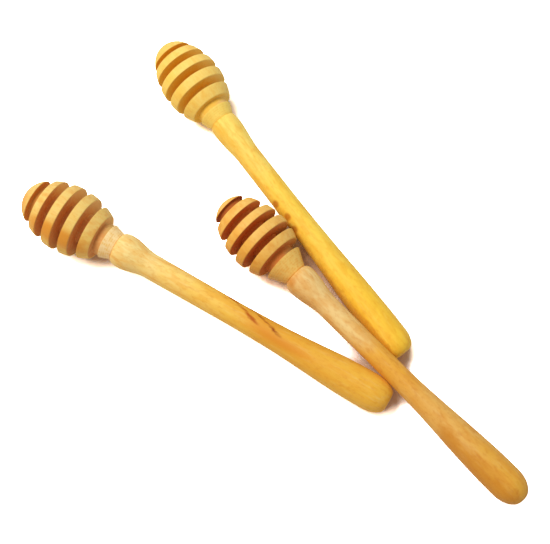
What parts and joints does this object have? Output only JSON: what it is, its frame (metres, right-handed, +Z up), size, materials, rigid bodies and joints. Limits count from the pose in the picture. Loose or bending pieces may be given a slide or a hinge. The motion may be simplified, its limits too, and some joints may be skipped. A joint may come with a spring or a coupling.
{
  "type": "honey dipper set",
  "caption": "Turned wooden honey dippers, each a grooved egg-shaped head on a tapered handle, lying crossed with the front one resting on the butts of the others.",
  "frame": {"origin": "on the table, under the middle of the set's bounding box", "axes": "+Z up from the table; +X to the right and +Y to the top of the picture, which looks down on the set"},
  "size_m": [0.1888, 0.185, 0.0266],
  "materials": {
    "upper_head_wood": "oiled, satin",
    "upper_handle_wood": "varnished, satin",
    "left_head_wood": "oiled, satin",
    "left_handle_wood": "varnished, satin",
    "front_head_wood": "oiled, satin",
    "front_handle_wood": "varnished, satin"
  },
  "bodies": {
    "upper_dipper": {"upper_dipper_head": "upper_head_wood", "upper_dipper_handle": "upper_handle_wood"},
    "left_dipper": {"left_dipper_head": "left_head_wood", "left_dipper_handle": "left_handle_wood"},
    "front_dipper": {"front_dipper_head": "front_head_wood", "front_dipper_handle": "front_handle_wood"}
  },
  "joints": [
    {"name": "front_lift", "type": "slide", "parent": "upper_dipper", "child": "front_dipper", "axis": [0, 0, 1], "range_m": [0, 0.06]},
    {"name": "left_draw", "type": "slide", "parent": "upper_dipper", "child": "left_dipper", "axis": [-0.8669, 0.4985, 0], "range_m": [0, 0.06]}
  ]
}
